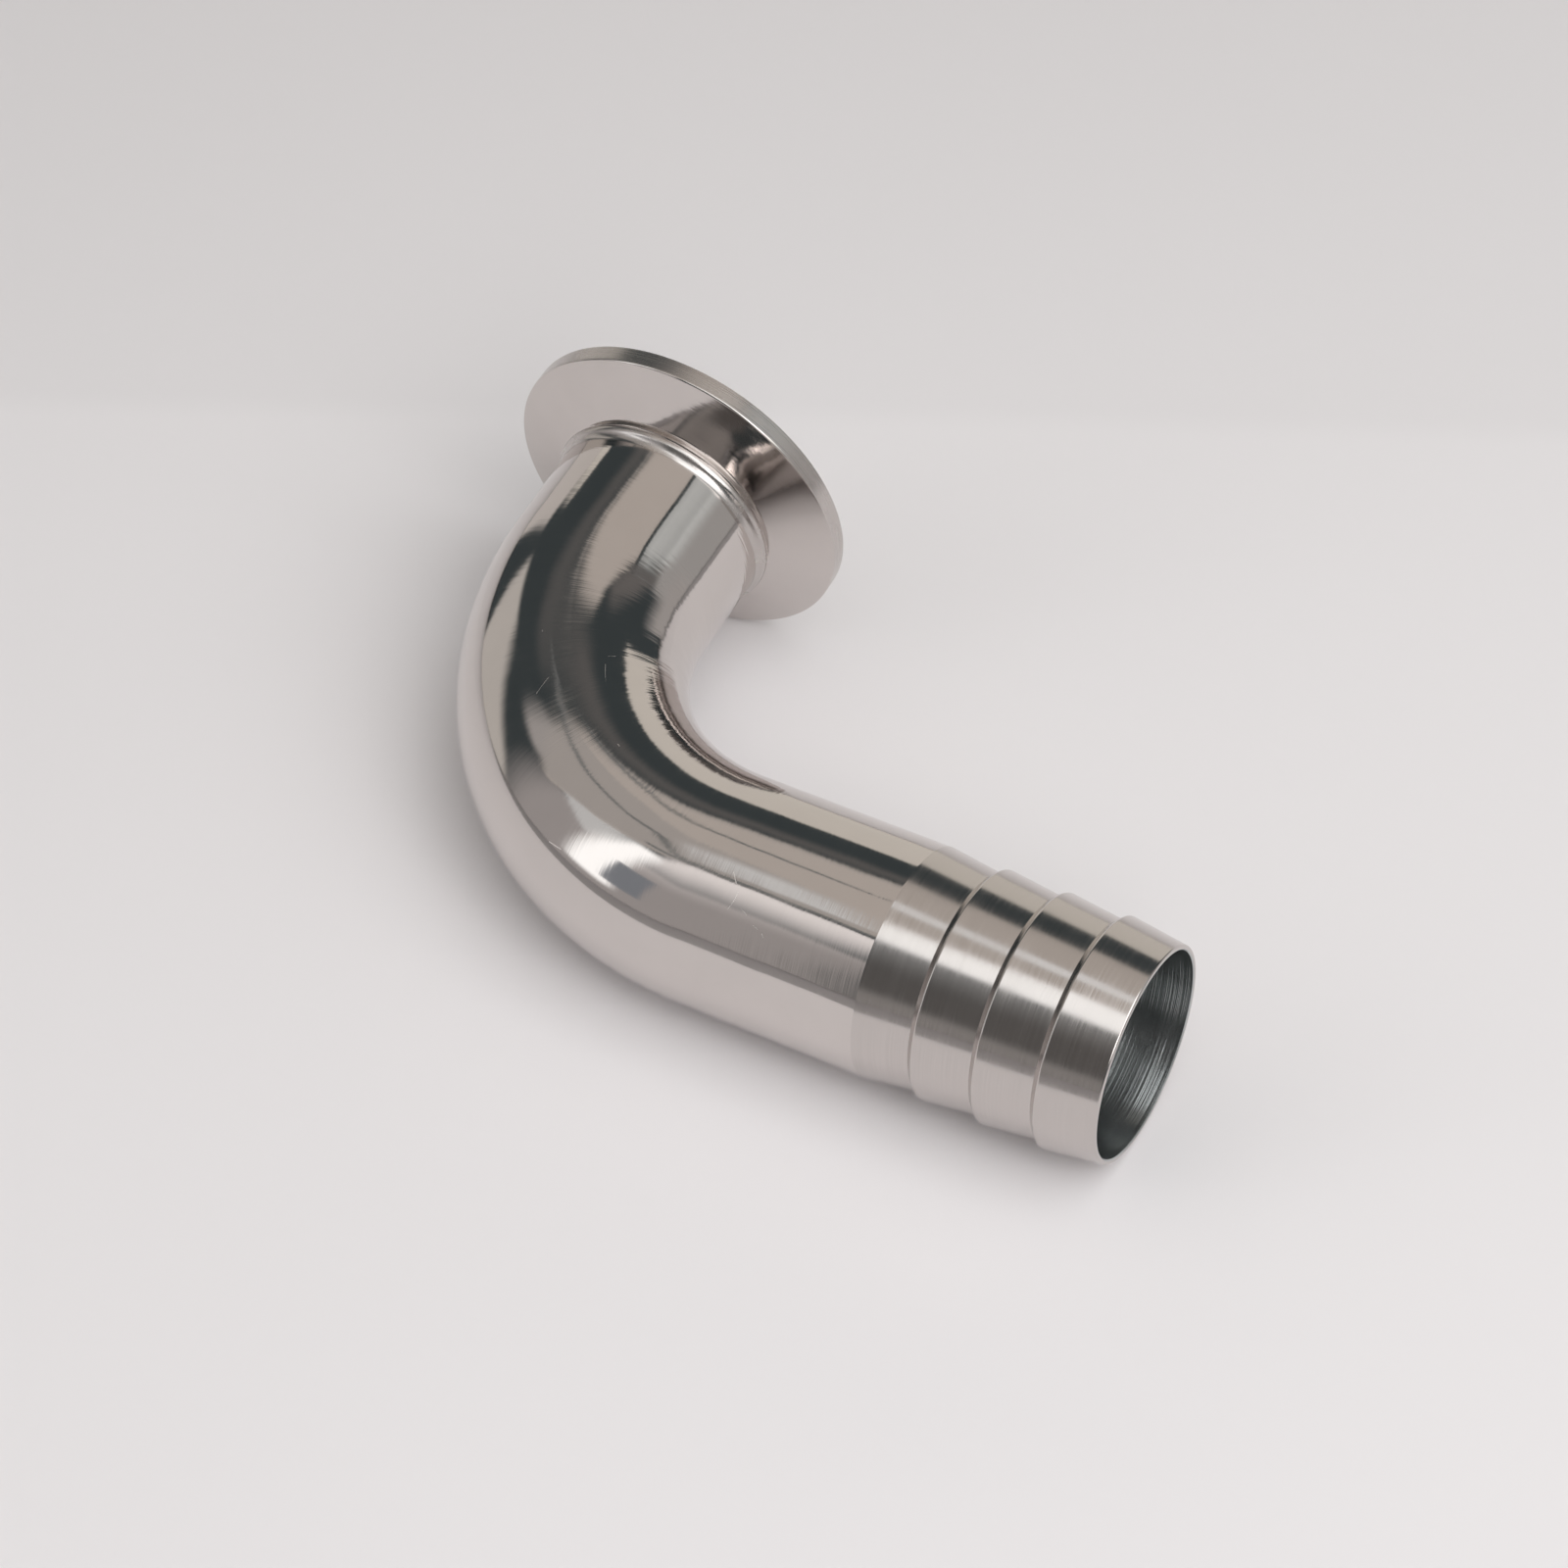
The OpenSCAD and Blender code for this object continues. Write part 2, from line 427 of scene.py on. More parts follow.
def leg_frame():
    """The fitting's own frame: ferrule leg along +Y, barb leg along +X, crossing at the origin."""
    return Matrix.Translation(CROSSING) @ Matrix.Rotation(LEAN, 4, "X")


def on_ferrule_leg(distance):
    """Place of a turned body whose height runs along the ferrule leg."""
    return leg_frame() @ Matrix.Translation((0, distance, 0)) @ Matrix.Rotation(-math.pi / 2, 4, "X")


def on_barb_leg(distance):
    """Place of a turned body whose height runs along the barb leg."""
    return leg_frame() @ Matrix.Translation((distance, 0, 0)) @ Matrix.Rotation(math.pi / 2, 4, "Y")


# Sizes worked out from the driving ones


class Worked:
    """Distances and radii that follow from the sizes."""

    def __init__(self, sizes):
        self.tube = sizes.tube_radius
        self.bore = sizes.tube_radius - sizes.tube_wall
        slope = math.tan(sizes.back_slope)
        self.foot = sizes.rim_length + (FLANGE_RADIUS - self.tube) * slope
        self.ferrule_length = self.foot + sizes.neck_length
        self.ferrule_joint = FACE_DISTANCE - self.ferrule_length
        self.first_shoulder = sizes.land_length + sizes.lead_length
        last_shoulder = self.first_shoulder + (sizes.barb_count - 1) * sizes.barb_pitch
        self.barb_length = last_shoulder + sizes.nose_length
        self.barb_joint = END_DISTANCE - self.barb_length
        self.barb_bore = self.bore - sizes.bore_step
        self.crest = self.tube - sizes.crest_drop
        self.root = self.crest - sizes.barb_depth
        self.lip = self.barb_bore + sizes.lip_wall


def root_bead(sizes, worked):
    """Points of the low bead inside the bore, from its lower end to its upper end."""
    half, height = sizes.root_width / 2, sizes.root_height
    radius = (half * half + height * height) / (2 * height)
    reach = math.degrees(math.asin(half / radius))
    centre = (worked.bore - height + radius, 0)
    return arc(centre, radius, 180 + reach, 180 - reach, 8)


# Shader helpers


class Value:
    """A value socket that Python arithmetic acts on."""

    def __init__(self, graph, socket):
        self.graph = graph
        self.socket = socket

    def _math(self, operation, first, second):
        node = self.graph.node("ShaderNodeMath", {"operation": operation}, {0: first, 1: second})
        return Value(self.graph, node.outputs[0])

    def __add__(self, other):
        return self._math("ADD", self, other)

    def __sub__(self, other):
        return self._math("SUBTRACT", self, other)

    def __rsub__(self, other):
        return self._math("SUBTRACT", other, self)

    def __mul__(self, other):
        return self._math("MULTIPLY", self, other)

    __radd__ = __add__
    __rmul__ = __mul__

    def held(self):
        """The value kept between zero and one."""
        node = self.graph.node("ShaderNodeClamp", None, {0: self})
        return Value(self.graph, node.outputs[0])

    def ramp(self, low, high, to_low=0.0, to_high=1.0):
        """The value carried smoothly from one range to another, and held at its ends."""
        settings = {"interpolation_type": "SMOOTHSTEP", "clamp": True}
        numbers = {"Value": self, "From Min": low, "From Max": high, "To Min": to_low, "To Max": to_high}
        node = self.graph.node("ShaderNodeMapRange", settings, numbers)
        return Value(self.graph, node.outputs["Result"])


class Graph:
    """Builds one node tree."""

    def __init__(self, tree):
        self.tree = tree
        tree.nodes.clear()

    def node(self, kind, settings=None, sockets=None):
        """Adds a node, with its settings first and then the values or links of its sockets."""
        node = self.tree.nodes.new(kind)
        for key, setting in (settings or {}).items():
            setattr(node, key, setting)
        for key, given in (sockets or {}).items():
            socket = node.inputs[key]
            if isinstance(given, Value):
                given = given.socket
            if isinstance(given, bpy.types.NodeSocket):
                self.tree.links.new(given, socket)
            else:
                socket.default_value = given
        return node

    def object_point(self):
        """Object coordinates, in metres."""
        return self.node("ShaderNodeTexCoord").outputs["Object"]

    def path_point(self):
        """The straightened point: along the centre line, out of the bend, and across it, in metres."""
        return self.node("ShaderNodeAttribute", {"attribute_name": "path"}).outputs["Vector"]

    def vector(self, operation, sockets):
        """The outputs of a vector operation."""
        return self.node("ShaderNodeVectorMath", {"operation": operation}, sockets).outputs

    def along(self, point, direction):
        """How far a point lies along a direction."""
        return Value(self, self.vector("DOT_PRODUCT", {0: point, 1: direction})["Value"])

    def noise(self, point, scale, detail=2.0, roughness=0.5):
        """A noise value from minus a half to a half, with its own scale on each axis, per metre."""
        stretched = self.node("ShaderNodeMapping", None, {"Vector": point, "Scale": scale}).outputs[0]
        numbers = {"Vector": stretched, "Scale": 1.0, "Detail": detail, "Roughness": roughness}
        return Value(self, self.node("ShaderNodeTexNoise", None, numbers).outputs[0]) - 0.5

    def stroke(self, point, start, end, width):
        """One on a short line between two points, and zero beside it."""
        start, end = Vector(start) * MM, Vector(end) * MM
        from_start = self.vector("SUBTRACT", {0: point, 1: start})[0]
        line = end - start
        share = self.along(from_start, line / line.length_squared).held()
        onto = self.vector("SCALE", {0: line, "Scale": share})[0]
        gap = Value(self, self.vector("DISTANCE", {0: from_start, 1: onto})["Value"])
        return gap.ramp(0.4 * width * MM, width * MM, 1, 0)

    def mix(self, factor, first, second):
        """A colour between two colours."""
        sockets = {0: factor, 6: first, 7: second}
        return self.node("ShaderNodeMix", {"data_type": "RGBA"}, sockets).outputs[2]

    def bump(self, height):
        """A bump from a height in millimetres."""
        sockets = {"Height": height, "Distance": MM, "Strength": 1.0}
        return self.node("ShaderNodeBump", None, sockets).outputs[0]


def rgba(colour):
    """Three numbers as a colour with full alpha."""
    return (*colour, 1.0)


def shade(colour, factor):
    """A colour made darker or lighter by a factor."""
    return tuple(channel * factor for channel in colour)


def metal(name, base, roughness, normal, graph):
    """Joins the parts of a steel finish to a metal shader."""
    sockets = {"Base Color": base, "Metallic": 1.0, "Roughness": roughness, "Normal": normal}
    shader = graph.node("ShaderNodeBsdfPrincipled", None, sockets)
    graph.node("ShaderNodeOutputMaterial", None, {"Surface": shader.outputs[0]})


def new_material(name):
    """A new material and the builder of its nodes."""
    material = bpy.data.materials.new(name)
    material.use_nodes = True
    return material, Graph(material.node_tree)


# Short scratches and nicks on the tube, drawn lighter as painted glints: both ends in millimetres on the
# straightened tube, and half width
SCRATCHES_AND_GLINTS = (
    ((69.2, 5.8, 14.8), (70.1, 6.9, 14.3), 0.07),
    ((70.8, 7.8, 13.9), (70.7, 8.8, 13.2), 0.08),
    ((70.7, 8.8, 13.2), (70.3, 9.8, 12.5), 0.07),
    ((71.8, 9.2, 12.9), (73.0, 9.7, 12.6), 0.06),
    ((74.3, 10.4, 12.0), (75.0, 10.6, 11.8), 0.07),
    ((75.7, 10.8, 11.6), (76.0, 11.1, 11.4), 0.1),
    ((47.0, 12.5, 9.8), (48.7, 12.3, 10.1), 0.09),
    ((21.7, 2.1, 15.8), (22.0, 2.1, 15.8), 0.08),
    ((27.3, -6.2, 14.6), (27.2, -7.1, 14.2), 0.07),
    ((29.0, -5.6, 14.9), (34.2, -4.5, 15.2), 0.05),
    ((31.3, 4.3, 15.3), (29.6, 2.1, 15.8), 0.05),
    ((44.5, -1.5, 15.8), (44.9, -1.5, 15.8), 0.09),
)


def polished_steel(finish):
    """Buffed steel: slow waves, ripples inside the bend, buffing marks and a few scratches, whose lighter
    colour is a painted glint.
    """
    material, graph = new_material("polished_steel")
    point = graph.path_point()
    waves = graph.noise(point, (60, 90, 90), 2.0)
    ripples = graph.noise(point, (420, 70, 70), 2.0)
    # Rises from zero outside the bend to one along its inside, where the metal was squeezed
    inner = graph.along(point, (0, 1, 0)).ramp(-4 * MM, -15 * MM)
    marks = graph.noise(point, (3600, 90, 90), 2.0, 0.6)
    cloud = graph.noise(point, (170, 170, 170), 3.0)
    comb = graph.noise(point, (1500, 60, 60), 2.0, 0.6)
    height = waves * finish.waves + marks * finish.marks
    height = height + (ripples * (inner * 2.0 + 0.3) + comb * (inner * 0.8 + 0.1)) * finish.ripples
    bright = 0.0
    for start, end, width in SCRATCHES_AND_GLINTS:
        bright = graph.stroke(point, start, end, width) + bright
    roughness = cloud * 0.08 + marks * 0.1 + bright * 0.3 + finish.polish
    base = graph.mix(cloud + 0.5, rgba(shade(finish.steel, 0.96)), rgba(shade(finish.steel, 1.04)))
    # Lighter steel along the scratches is a painted glint, laid over the real scratch that roughens the
    # polish
    base = graph.mix(bright.held(), base, rgba(shade(finish.steel, 1.4)))
    metal("polished_steel", base, roughness, graph.bump(height), graph)
    return material


def bead_steel(finish):
    """A weld bead buffed by hand: softer than the tube, with its ripples still showing."""
    material, graph = new_material("bead_steel")
    point = graph.path_point()
    lumps = graph.noise(point, (260, 260, 260), 2.0)
    cloud = graph.noise(point, (500, 300, 300), 3.0)
    base = graph.mix(cloud + 0.5, rgba(shade(finish.steel, 0.8)), rgba(shade(finish.steel, 0.94)))
    height = lumps * 0.02 + cloud * 0.006
    metal("bead_steel", base, cloud * 0.3 + finish.bead, graph.bump(height), graph)
    return material


def turned_steel(finish):
    """The barb's steel, as it leaves the lathe."""
    return ringed_steel(finish, "turned_steel", finish.turned)


def rim_steel(finish):
    """The flange's rim, turned and then dulled with a fine paper."""
    return ringed_steel(finish, "rim_steel", finish.rim)


def ringed_steel(finish, name, smoothness):
    """Turned steel: fine rings round the centre line, some deeper than others."""
    material, graph = new_material(name)
    point = graph.path_point()
    rings = graph.noise(point, (5200, 30, 30), 2.0, 0.7)
    wide_rings = graph.noise(point, (1300, 20, 20), 1.0)
    cloud = graph.noise(point, (230, 230, 230), 3.0)
    patches = graph.noise(point, (60, 120, 120), 1.0).ramp(-0.1, 0.15, 0.35, 1.0)
    height = (rings * finish.rings + wide_rings * finish.rings * 1.2) * patches
    roughness = rings * 0.2 + cloud * 0.1 + smoothness
    base = graph.mix(rings * patches + 0.5, rgba(shade(finish.steel, 0.8)), rgba(shade(finish.steel, 1.02)))
    metal(name, base, roughness, graph.bump(height), graph)
    return material


def bore_steel(finish):
    """The inside of the bore: coarser rings than outside, so that light smears along it, and a colour
    darkened as painted shade.
    """
    material, graph = new_material("bore_steel")
    point = graph.path_point()
    rings = graph.noise(point, (9000, 15, 15), 1.0, 0.5)
    cloud = graph.noise(point, (300, 300, 300), 3.0)
    roughness = cloud * 0.12 + finish.bore
    # Darker and cooler than the outer steel: painted shade inside the bore, with a cool tint that offsets
    # its warm reflections
    base = graph.mix(cloud + 0.5, rgba((0.48, 0.5, 0.5)), rgba((0.56, 0.58, 0.58)))
    metal("bore_steel", base, roughness, graph.bump(rings * finish.bore_rings), graph)
    return material


def finish_named(name, maker):
    """A finish that several pieces share, made once."""
    found = bpy.data.materials.get(name)
    if found is None or not found.get("made_here"):
        found = maker(bpy.context.scene.fitting_finish)
        found["made_here"] = True
    return found


# Pieces


class FITTING_OT_clamp_ferrule(bpy.types.Operator):
    """Turned ferrule with its gasket groove, rim, sloping back and short neck"""

    bl_idname = "fitting.clamp_ferrule"
    bl_label = "Clamp Ferrule"

    def execute(self, context):
        sizes = context.scene.fitting_sizes
        worked = Worked(sizes)
        slope = math.degrees(sizes.back_slope)
        corner = sizes.edge_break
        radius = sizes.foot_fillet
        tangent = radius / math.tan(math.radians(90 + slope) / 2)
        centre = (worked.tube + radius, -worked.foot - tangent)
        groove = (sizes.groove_middle, 0)
        # The rim's back edge is rounded where it meets the sloping back
        edge = 1.5 * corner
        tight = (1 - math.sin(sizes.back_slope)) / math.cos(sizes.back_slope)
        edge_centre = (FLANGE_RADIUS - edge, -sizes.rim_length + tight * edge)
        corners = [(worked.bore + corner, 0)]
        corners += arc(groove, sizes.groove_radius, 180, 360, 24)
        corners += [(FLANGE_RADIUS - corner, 0), (FLANGE_RADIUS, -corner)]
        corners += arc(edge_centre, edge, 0, slope - 90, 8)
        corners += arc(centre, radius, 90 + slope, 180, 12)
        corners += [(worked.tube, -worked.ferrule_length + sizes.weld_width / 2)]
        corners += [(worked.bore, -worked.ferrule_length + sizes.root_width / 2), (worked.bore, -corner)]
        piece = turn_body("clamp_ferrule_body", corners, on_ferrule_leg(FACE_DISTANCE))
        polished = finish_named("polished_steel", polished_steel)
        bore = finish_named("bore_steel", bore_steel)
        rim = finish_named("rim_steel", rim_steel)
        hand_over(piece, "clamp_ferrule", "polished_steel", polished, bore, rim)
        paint_bore(piece, worked.bore + BORE_SKIN)
        paint_rim(piece, 2)
        return {"FINISHED"}


class FITTING_OT_ferrule_weld(bpy.types.Operator):
    """Polished bead between the ferrule and the tube"""

    bl_idname = "fitting.ferrule_weld"
    bl_label = "Ferrule Weld"

    def execute(self, context):
        sizes = context.scene.fitting_sizes
        worked = Worked(sizes)
        crest = (worked.tube + sizes.bead_height - sizes.bead_radius, sizes.bead_shift)
        reach = sizes.bead_radius + sizes.bead_blend
        blend_off = worked.tube + sizes.bead_blend - crest[0]
        drop = math.sqrt(reach * reach - blend_off * blend_off)
        blend = (worked.tube + sizes.bead_blend, crest[1] - drop)
        meet = math.degrees(math.atan2(drop, blend_off))
        # The bead's other side runs into the fillet at the cone's foot
        slope = math.degrees(sizes.back_slope)
        foot_tangent = sizes.foot_fillet / math.tan(math.radians(90 + slope) / 2)
        foot_centre = Vector((worked.tube + sizes.foot_fillet, sizes.neck_length - foot_tangent))
        between = Vector(crest) - foot_centre
        squares = between.length_squared + sizes.foot_fillet**2 - sizes.bead_radius**2
        inside = squares / (2 * between.length * sizes.foot_fillet)
        touch_angle = math.atan2(between.y, between.x) - math.acos(max(-1.0, min(1.0, inside)))
        touch = foot_centre + sizes.foot_fillet * Vector((math.cos(touch_angle), math.sin(touch_angle)))
        start = math.degrees(math.atan2(touch.y - crest[1], touch.x - crest[0]))
        corners = arc(crest, sizes.bead_radius, start, -meet, 28)
        corners += arc(blend, sizes.bead_blend, 180 - meet, 180, 18)[1:]
        corners += [(worked.tube, -sizes.weld_width / 2)]
        corners += root_bead(sizes, worked)
        corners += [(worked.tube, sizes.weld_width / 2)]
        piece = turn_body("ferrule_weld_bead", corners, on_ferrule_leg(worked.ferrule_joint))
        bead = finish_named("bead_steel", bead_steel)
        bore = finish_named("bore_steel", bore_steel)
        hand_over(piece, "ferrule_weld", "weld_bead", bead, bore)
        paint_bore(piece, worked.bore + BORE_SKIN)
        return {"FINISHED"}


class FITTING_OT_elbow_tube(bpy.types.Operator):
    """Bent tube with its two straight ends"""

    bl_idname = "fitting.elbow_tube"
    bl_label = "Elbow Tube"

    def execute(self, context):
        sizes = context.scene.fitting_sizes
        worked = Worked(sizes)
        bend = sizes.bend_radius
        upper = worked.ferrule_joint - sizes.weld_width / 2 - bend
        lower = worked.barb_joint - sizes.weld_width / 2 - bend
        deselect_all()
        bpy.ops.mesh.primitive_circle_add(
            vertices=TUBE_SIDES, radius=worked.tube,
            location=(0, bend + upper, 0), rotation=(math.pi / 2, 0, 0),
        )
        piece = bpy.context.active_object
        piece.name = "elbow_tube_body"
        piece.data.name = piece.name
        bpy.ops.object.transform_apply(location=True, rotation=True, scale=True)
        bpy.ops.object.mode_set(mode="EDIT")
        bpy.ops.mesh.select_all(action="SELECT")
        upper_rings = round(upper / RING_GAP)
        for _ in range(upper_rings):
            bpy.ops.mesh.extrude_region_move(TRANSFORM_OT_translate={"value": (0, -upper / upper_rings, 0)})
        bpy.ops.mesh.spin(steps=BEND_STEPS, angle=math.pi / 2, center=(bend, bend, 0), axis=(0, 0, -1))
        lower_rings = round(lower / RING_GAP)
        for _ in range(lower_rings):
            bpy.ops.mesh.extrude_region_move(TRANSFORM_OT_translate={"value": (lower / lower_rings, 0, 0)})
        bpy.ops.mesh.select_all(action="SELECT")
        bpy.ops.mesh.remove_doubles(threshold=SAME_POINT)
        bpy.ops.mesh.normals_make_consistent(inside=False)
        bpy.ops.object.mode_set(mode="OBJECT")
        wall = piece.modifiers.new("wall", "SOLIDIFY")
        wall.thickness = sizes.tube_wall
        wall.offset = -1
        bpy.ops.object.modifier_apply(modifier=wall.name)
        piece.matrix_world = leg_frame()
        finish_shape(piece)
        polished = finish_named("polished_steel", polished_steel)
        bore = finish_named("bore_steel", bore_steel)
        hand_over(piece, "elbow_tube", "polished_steel", polished, bore)
        paint_bore(piece, worked.bore + BORE_SKIN)
        return {"FINISHED"}


class FITTING_OT_barb_weld(bpy.types.Operator):
    """Weld between the tube and the barb, ground flush outside"""

    bl_idname = "fitting.barb_weld"
    bl_label = "Barb Weld"

    def execute(self, context):
        sizes = context.scene.fitting_sizes
        worked = Worked(sizes)
        corners = [(worked.tube, sizes.weld_width / 2), (worked.tube, -sizes.weld_width / 2)]
        corners += root_bead(sizes, worked)
        piece = turn_body("barb_weld_ring", corners, on_barb_leg(worked.barb_joint))
        polished = finish_named("polished_steel", polished_steel)
        bore = finish_named("bore_steel", bore_steel)
        hand_over(piece, "barb_weld", "polished_steel", polished, bore)
        paint_bore(piece, worked.bore + BORE_SKIN)
        return {"FINISHED"}


def flank(start_centre, start_round, end_point, end_round):
    """Angle at which a flank leaves a round crest, when it ends on a point or on another round edge."""
    run = end_point[1] - start_centre[1]
    fall = start_centre[0] - end_point[0]
    gap = start_round - end_round
    return 90 - math.degrees(math.atan2(run, fall)) + math.degrees(math.asin(gap / math.hypot(run, fall)))


class FITTING_OT_hose_barb(bpy.types.Operator):
    """Turned barb: a straight land, then barbs that grip the hose, and a thin open lip"""

    bl_idname = "fitting.hose_barb"
    bl_label = "Hose Barb"

    def execute(self, context):
        sizes = context.scene.fitting_sizes
        worked = Worked(sizes)
        crest_r = sizes.crest_round
        ring = worked.crest - crest_r
        slope = math.radians(45)
        rise = ring + crest_r * math.cos(slope) - worked.root
        lip_centre = (worked.lip - sizes.lip_round, worked.barb_length - sizes.lip_round)
        corners = [(worked.tube, sizes.weld_width / 2), (worked.tube, sizes.land_length)]
        for index in range(sizes.barb_count):
            shoulder = worked.first_shoulder + index * sizes.barb_pitch
            centre = (ring, shoulder + rise / math.tan(slope) + crest_r * math.sin(slope))
            last = index == sizes.barb_count - 1
            target = lip_centre if last else (worked.root, shoulder + sizes.barb_pitch)
            leave = flank(centre, crest_r, target, sizes.lip_round if last else 0.0)
            corners.append((worked.root, shoulder))
            corners += arc(centre, crest_r, -45, leave, 10)
        corners += arc(lip_centre, sizes.lip_round, leave, 90, 8)
        corners += [(worked.barb_bore + sizes.lip_break, worked.barb_length)]
        corners += [(worked.barb_bore, worked.barb_length - sizes.lip_break)]
        corners += [(worked.barb_bore, sizes.root_width / 2 + sizes.bore_taper)]
        corners += [(worked.bore, sizes.root_width / 2)]
        piece = turn_body("hose_barb_body", corners, on_barb_leg(worked.barb_joint))
        turned = finish_named("turned_steel", turned_steel)
        bore = finish_named("bore_steel", bore_steel)
        polished = finish_named("polished_steel", polished_steel)
        hand_over(piece, "hose_barb", "turned_steel", turned, bore, polished)
        paint_bore(piece, worked.bore + BARB_BORE_SKIN)
        # The land beside the weld is polished with the tube
        seam = CROSSING.x + worked.barb_joint + sizes.land_length
        for face in piece.data.polygons:
            if face.center.x < seam and face.material_index == 0:
                face.material_index = 2
        return {"FINISHED"}


# Studio


# Dark cords that hang under the overhead panels, as points of the ceiling's plan
CORD = (
    (-0.6, 0.36),
    (-0.7, 0.12),
    (-0.7, -0.06),
    (-0.6, -0.2),
    (-0.48, -0.27),
    (-0.47, -0.45),
    (-0.42, -0.55),
    (-0.3, -0.6),
)
SHORT_CORD = ((-0.49, 0.38), (-0.45, 0.24), (-0.4, 0.14), (-0.3, 0.1))
EDGE_CORD = ((-0.58, -0.5), (-0.45, -0.545), (-0.41, -0.565), (-0.34, -0.58))


def compass(*corners):
    """Directions from azimuths, which run from +X towards +Y, and elevations, all in degrees."""
    directions = []
    for azimuth, elevation in corners:
        turn = math.radians(azimuth)
        rise = math.radians(elevation)
        level = math.cos(rise)
        directions.append(Vector((math.cos(turn) * level, math.sin(turn) * level, math.sin(rise))))
    return directions


def plan(*corners):
    """Directions to points of a ceiling one unit above the fitting."""
    return [Vector((*corner, 1)).normalized() for corner in corners]


def panel(name, directions, level, colour, distance, soft, mottle=0.0):
    """A glowing panel that only the steel and the paper see.

    Its corners lie in the given directions from the fitting, and its outline is convex. The glow fades
    towards each edge over the soft distance, or over a distance of its own for each edge. A mottled
    panel varies in brightness by that share.
    """
    outward = sum(directions, Vector()).normalized()
    facing = outward.to_track_quat("Z", "Y").to_matrix().to_4x4()
    across, upward = facing.col[0].to_3d(), facing.col[1].to_3d()
    reach = [distance / direction.dot(outward) for direction in directions]
    corners = [Vector((d.dot(across), d.dot(upward))) * r for d, r in zip(directions, reach)]
    low = Vector((min(c.x for c in corners), min(c.y for c in corners)))
    high = Vector((max(c.x for c in corners), max(c.y for c in corners)))
    deselect_all()
    bpy.ops.mesh.primitive_plane_add(size=1, location=(*((low + high) / 2), 0))
    plane = bpy.context.active_object
    plane.name = name
    plane.scale = (*(high - low), 1)
    bpy.ops.object.transform_apply(location=True, rotation=True, scale=True)
    plane.matrix_world = Matrix.Translation(outward * distance) @ facing
    material, graph = new_material(name)
    middle = sum(corners, Vector((0, 0))) / len(corners)
    softness = soft if isinstance(soft, tuple) else (soft,) * len(corners)
    edge = 1.0
    for start, end, fade in zip(corners, corners[1:] + corners[:1], softness):
        inward = Vector((start.y - end.y, end.x - start.x)).normalized()
        if inward.dot(middle - start) < 0:
            inward.negate()
        edge = (graph.along(graph.object_point(), (*inward, 0)) - inward.dot(start)).ramp(0, fade) * edge
    level *= bpy.context.scene.fitting_studio.light
    glow = rgba(colour)
    if mottle:
        cloud = graph.noise(graph.object_point(), (5, 5, 5), 2.0) * 2.0 + 0.5
        glow = graph.mix(cloud.held(), rgba(shade(colour, 1 - mottle)), rgba(shade(colour, 1 + mottle)))
    light = graph.node("ShaderNodeEmission", None, {"Color": glow, "Strength": level})
    clear = graph.node("ShaderNodeBsdfTransparent")
    mixed = graph.node("ShaderNodeMixShader", None, {0: edge, 1: clear.outputs[0], 2: light.outputs[0]})
    graph.node("ShaderNodeOutputMaterial", None, {"Surface": mixed.outputs[0]})
    plane.data.materials.append(material)
    plane.visible_camera = False
    plane.visible_shadow = False


def card(name, azimuth, elevation, width, height, level, colour, distance, soft):
    """A panel with four straight edges, given by its middle and its angles across and up."""
    left, right = azimuth - width / 2, azimuth + width / 2
    low, high = elevation - height / 2, elevation + height / 2
    directions = compass((left, low), (right, low), (right, high), (left, high))
    panel(name, directions, level, colour, distance, soft)


